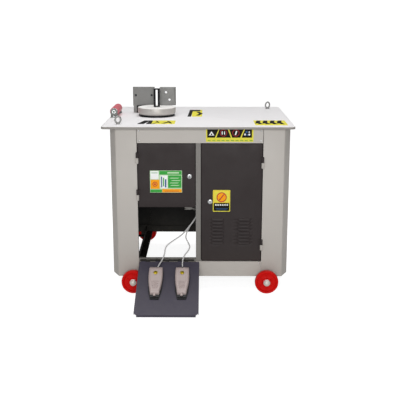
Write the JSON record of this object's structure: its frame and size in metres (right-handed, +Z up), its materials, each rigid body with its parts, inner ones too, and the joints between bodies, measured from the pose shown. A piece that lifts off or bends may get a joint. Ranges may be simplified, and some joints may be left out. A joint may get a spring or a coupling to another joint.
{
  "type": "rebar bender",
  "caption": "Wheeled cabinet bender for reinforcing bar with a geared disc on a steel table, stop and bend plates, two doors and two foot switches on a fold-down tray.",
  "frame": {"origin": "on the floor at the centre of the bounding box", "axes": "+X to the operator's right along the table, +Y away from the operator, +Z up"},
  "size_m": [1, 1.33, 1.046],
  "materials": {
    "panel_grey": "satin powder coat",
    "door_dark": "satin powder coat",
    "frame_grey": "satin paint",
    "table_white": "satin powder coat",
    "plate_grey": "matt paint",
    "wheel_red": "gloss paint",
    "tray_slate": "satin powder coat",
    "pedal_beige": "cast and painted",
    "black_oxide": "blackened",
    "bright_steel": "ground",
    "gear_steel": "machined",
    "cast_green": "painted casting",
    "black_plastic": "moulded",
    "cream_plastic": "moulded",
    "belt_rubber": "matt",
    "lead_sheath": "matt sheath"
  },
  "bodies": {
    "cabinet": {"base_frame": "frame_grey", "left_side_panel": "panel_grey", "right_side_panel": "panel_grey", "back_panel": "panel_grey", "apron": "panel_grey", "centre_post": "frame_grey", "kick_panel": "panel_grey", "lower_rail": "frame_grey", "table_top": "table_white", "electrical_box": "frame_grey", "contactors": "black_plastic", "terminal_strip": "cream_plastic", "gearbox_housing": "cast_green", "gearbox_cover": "cast_green", "shaft_bearings": "bright_steel", "motor_body": "cast_green", "motor_fan_cowl": "cast_green", "motor_bracket": "frame_grey", "stop_plate": "plate_grey", "table_screws": "bright_steel", "disc_seat_ring": "black_oxide", "roller_brackets": "plate_grey", "roller_axle": "bright_steel", "lifting_eyes": "bright_steel", "door_hinge_pins": "black_oxide", "limit_switches": "black_plastic", "cable_glands": "black_plastic", "drive_belts": "belt_rubber", "wheel_axles": "bright_steel", "left_pedal_lead": "lead_sheath", "right_pedal_lead": "lead_sheath"},
    "disc": {"main_shaft": "bright_steel", "main_gear": "gear_steel", "bending_disc": "bright_steel", "mandrel": "black_oxide", "bend_plate": "plate_grey", "bend_plate_pins": "bright_steel", "trip_cam": "gear_steel"},
    "idler": {"idler_shaft": "bright_steel", "idler_gears": "gear_steel"},
    "gear_input": {"input_shaft": "bright_steel", "driven_pulley": "gear_steel"},
    "motor_rotor": {"motor_rotor": "bright_steel", "drive_pulley": "gear_steel", "cooling_fan": "black_plastic"},
    "left_door": {"left_door": "door_dark"},
    "left_lock": {"left_door_lock": "bright_steel"},
    "right_door": {"right_door": "door_dark"},
    "right_lock": {"right_door_lock": "bright_steel"},
    "tray": {"pedal_tray": "tray_slate", "left_pedal_housing": "black_oxide", "right_pedal_housing": "black_oxide", "treadle_pins": "bright_steel"},
    "left_treadle": {"left_treadle": "pedal_beige"},
    "right_treadle": {"right_treadle": "pedal_beige"},
    "front_left_wheel": {"front_left_wheel": "wheel_red"},
    "front_right_wheel": {"front_right_wheel": "wheel_red"},
    "rear_left_wheel": {"rear_left_wheel": "wheel_red"},
    "rear_right_wheel": {"rear_right_wheel": "wheel_red"},
    "support_roller": {"support_roller": "wheel_red"}
  },
  "joints": [
    {"name": "disc_spin", "type": "hinge", "parent": "cabinet", "child": "disc", "pos_m": [-0.24, 0.16902, 0.94], "axis": [0, 0, 1], "range_deg": [-180, 0]},
    {"name": "idler_spin", "type": "hinge", "parent": "cabinet", "child": "idler", "pos_m": [-0.08, 0.16902, 0.8], "axis": [0, 0, 1], "range_deg": [0, 720]},
    {"name": "input_spin", "type": "hinge", "parent": "cabinet", "child": "gear_input", "pos_m": [0.04, 0.16902, 0.76], "axis": [0, 0, 1], "range_deg": [-2880, 0]},
    {"name": "motor_spin", "type": "hinge", "parent": "cabinet", "child": "motor_rotor", "pos_m": [0.27, 0.16902, 0.5], "axis": [0, 0, 1], "range_deg": [-8640, 0]},
    {"name": "left_door_swing", "type": "hinge", "parent": "cabinet", "child": "left_door", "pos_m": [-0.317, -0.27798, 0.63], "axis": [0, 0, -1], "range_deg": [0, 110]},
    {"name": "left_lock_turn", "type": "hinge", "parent": "left_door", "child": "left_lock", "pos_m": [-0.045, -0.27098, 0.627], "axis": [0, -1, 0], "range_deg": [0, 90]},
    {"name": "right_door_swing", "type": "hinge", "parent": "cabinet", "child": "right_door", "pos_m": [0.337, -0.27798, 0.48], "axis": [0, 0, 1], "range_deg": [0, 110]},
    {"name": "right_lock_turn", "type": "hinge", "parent": "right_door", "child": "right_lock", "pos_m": [0.063, -0.27098, 0.491], "axis": [0, 1, 0], "range_deg": [0, 90]},
    {"name": "tray_fold", "type": "hinge", "parent": "cabinet", "child": "tray", "pos_m": [-0.155, -0.28298, 0.17], "axis": [-1, 0, 0], "range_deg": [0, 100], "deforming": ["left_pedal_lead", "right_pedal_lead"]},
    {"name": "left_treadle_press", "type": "hinge", "parent": "tray", "child": "left_treadle", "pos_m": [-0.218, -0.53517, 0.08456], "axis": [-1, 0, 0], "range_deg": [0, 4], "stiffness_Nm_per_rad": 10, "springref_deg": -5.73},
    {"name": "right_treadle_press", "type": "hinge", "parent": "tray", "child": "right_treadle", "pos_m": [-0.081, -0.53517, 0.08456], "axis": [-1, 0, 0], "range_deg": [0, 4], "stiffness_Nm_per_rad": 10, "springref_deg": -5.73},
    {"name": "front_left_roll", "type": "hinge", "parent": "cabinet", "child": "front_left_wheel", "pos_m": [-0.346, -0.32098, 0.063], "axis": [0, 1, 0], "continuous": true},
    {"name": "front_right_roll", "type": "hinge", "parent": "cabinet", "child": "front_right_wheel", "pos_m": [0.366, -0.32098, 0.063], "axis": [0, 1, 0], "continuous": true},
    {"name": "rear_left_roll", "type": "hinge", "parent": "cabinet", "child": "rear_left_wheel", "pos_m": [-0.346, 0.63902, 0.063], "axis": [0, 1, 0], "continuous": true},
    {"name": "rear_right_roll", "type": "hinge", "parent": "cabinet", "child": "rear_right_wheel", "pos_m": [0.366, 0.63902, 0.063], "axis": [0, 1, 0], "continuous": true},
    {"name": "roller_spin", "type": "hinge", "parent": "cabinet", "child": "support_roller", "pos_m": [-0.476, 0.19502, 0.921], "axis": [0, 1, 0], "continuous": true}
  ],
  "couplings": [
    {"joint": "idler_spin", "follows": "disc_spin", "ratio": -4},
    {"joint": "input_spin", "follows": "disc_spin", "ratio": 16},
    {"joint": "motor_spin", "follows": "disc_spin", "ratio": 48}
  ]
}
